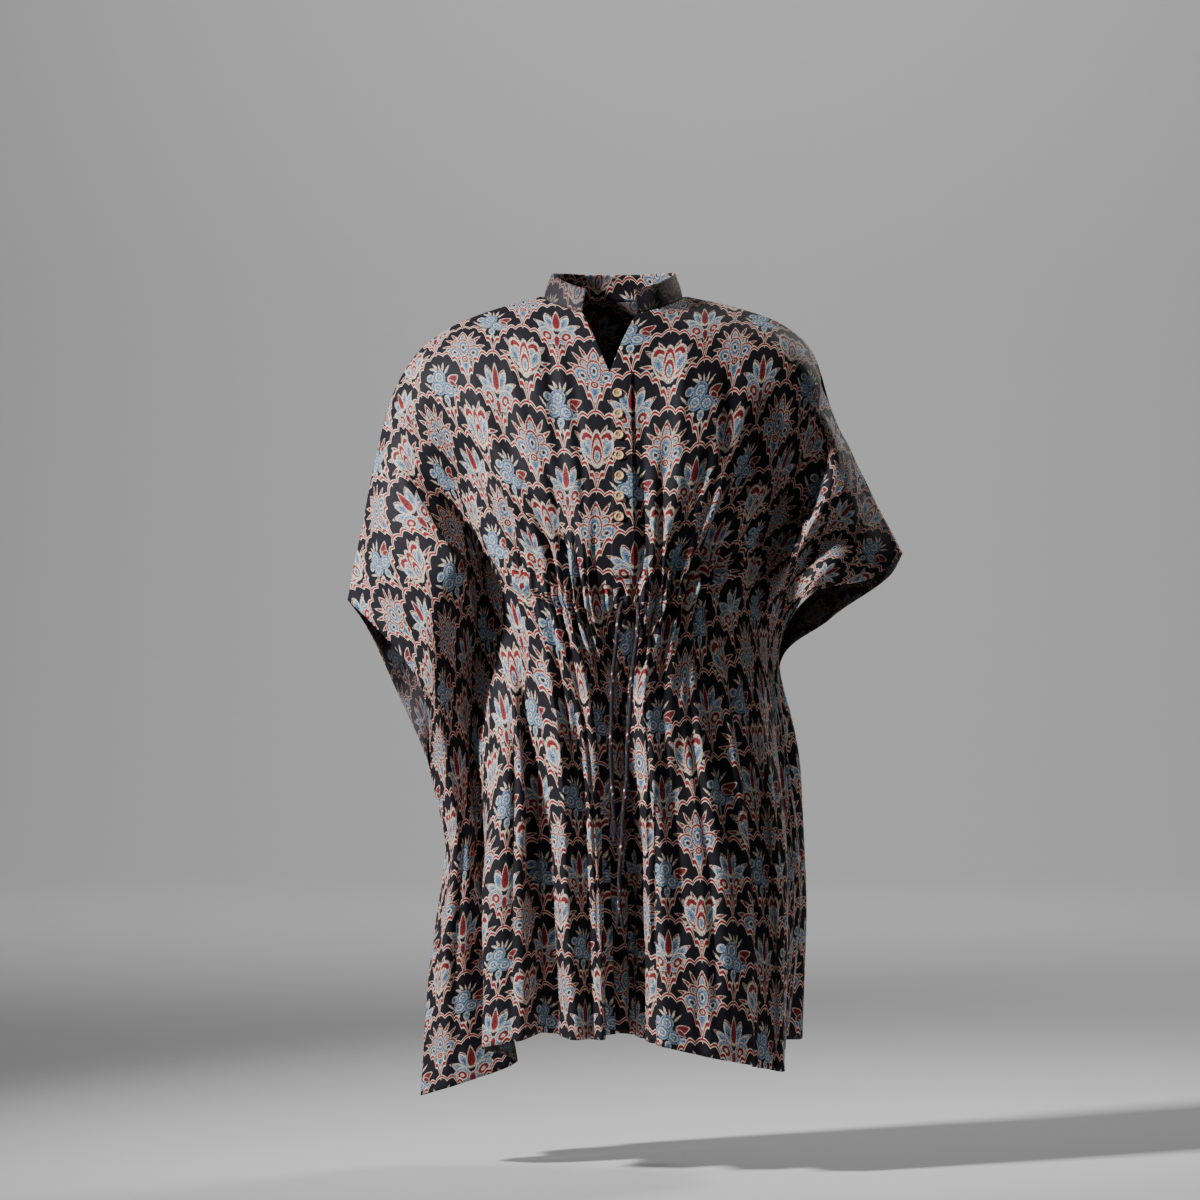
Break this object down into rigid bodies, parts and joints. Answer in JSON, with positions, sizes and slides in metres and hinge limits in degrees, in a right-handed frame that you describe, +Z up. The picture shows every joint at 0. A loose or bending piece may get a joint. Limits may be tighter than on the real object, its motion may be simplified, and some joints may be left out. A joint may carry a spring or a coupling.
{
  "type": "kaftan",
  "caption": "Short block-printed cotton kaftan with a stand collar, a buttoned slit, a gathered drawstring waist with hanging ties, and wide cut-on sleeves.",
  "frame": {"origin": "middle of the neck base, where the garment is held when worn", "axes": "+Z up, -Y the front, +X the wearer's left"},
  "size_m": [0.6748, 0.3228, 1.0027],
  "materials": {
    "cotton": "matt printed cotton, dark ground with cream, red and blue",
    "tie_cotton": "matt cotton cord of the same print",
    "button_wood": "satin turned wood"
  },
  "bodies": {
    "root": {"front_panel": "cotton", "back_panel": "cotton", "collar": "cotton", "button_placket": "cotton", "button_1": "button_wood", "button_2": "button_wood", "button_3": "button_wood", "button_4": "button_wood", "button_5": "button_wood", "button_6": "button_wood", "button_7": "button_wood", "tie_left": "tie_cotton", "tie_right": "tie_cotton", "tie_left_tip": "tie_cotton", "tie_right_tip": "tie_cotton"}
  },
  "joints": []
}
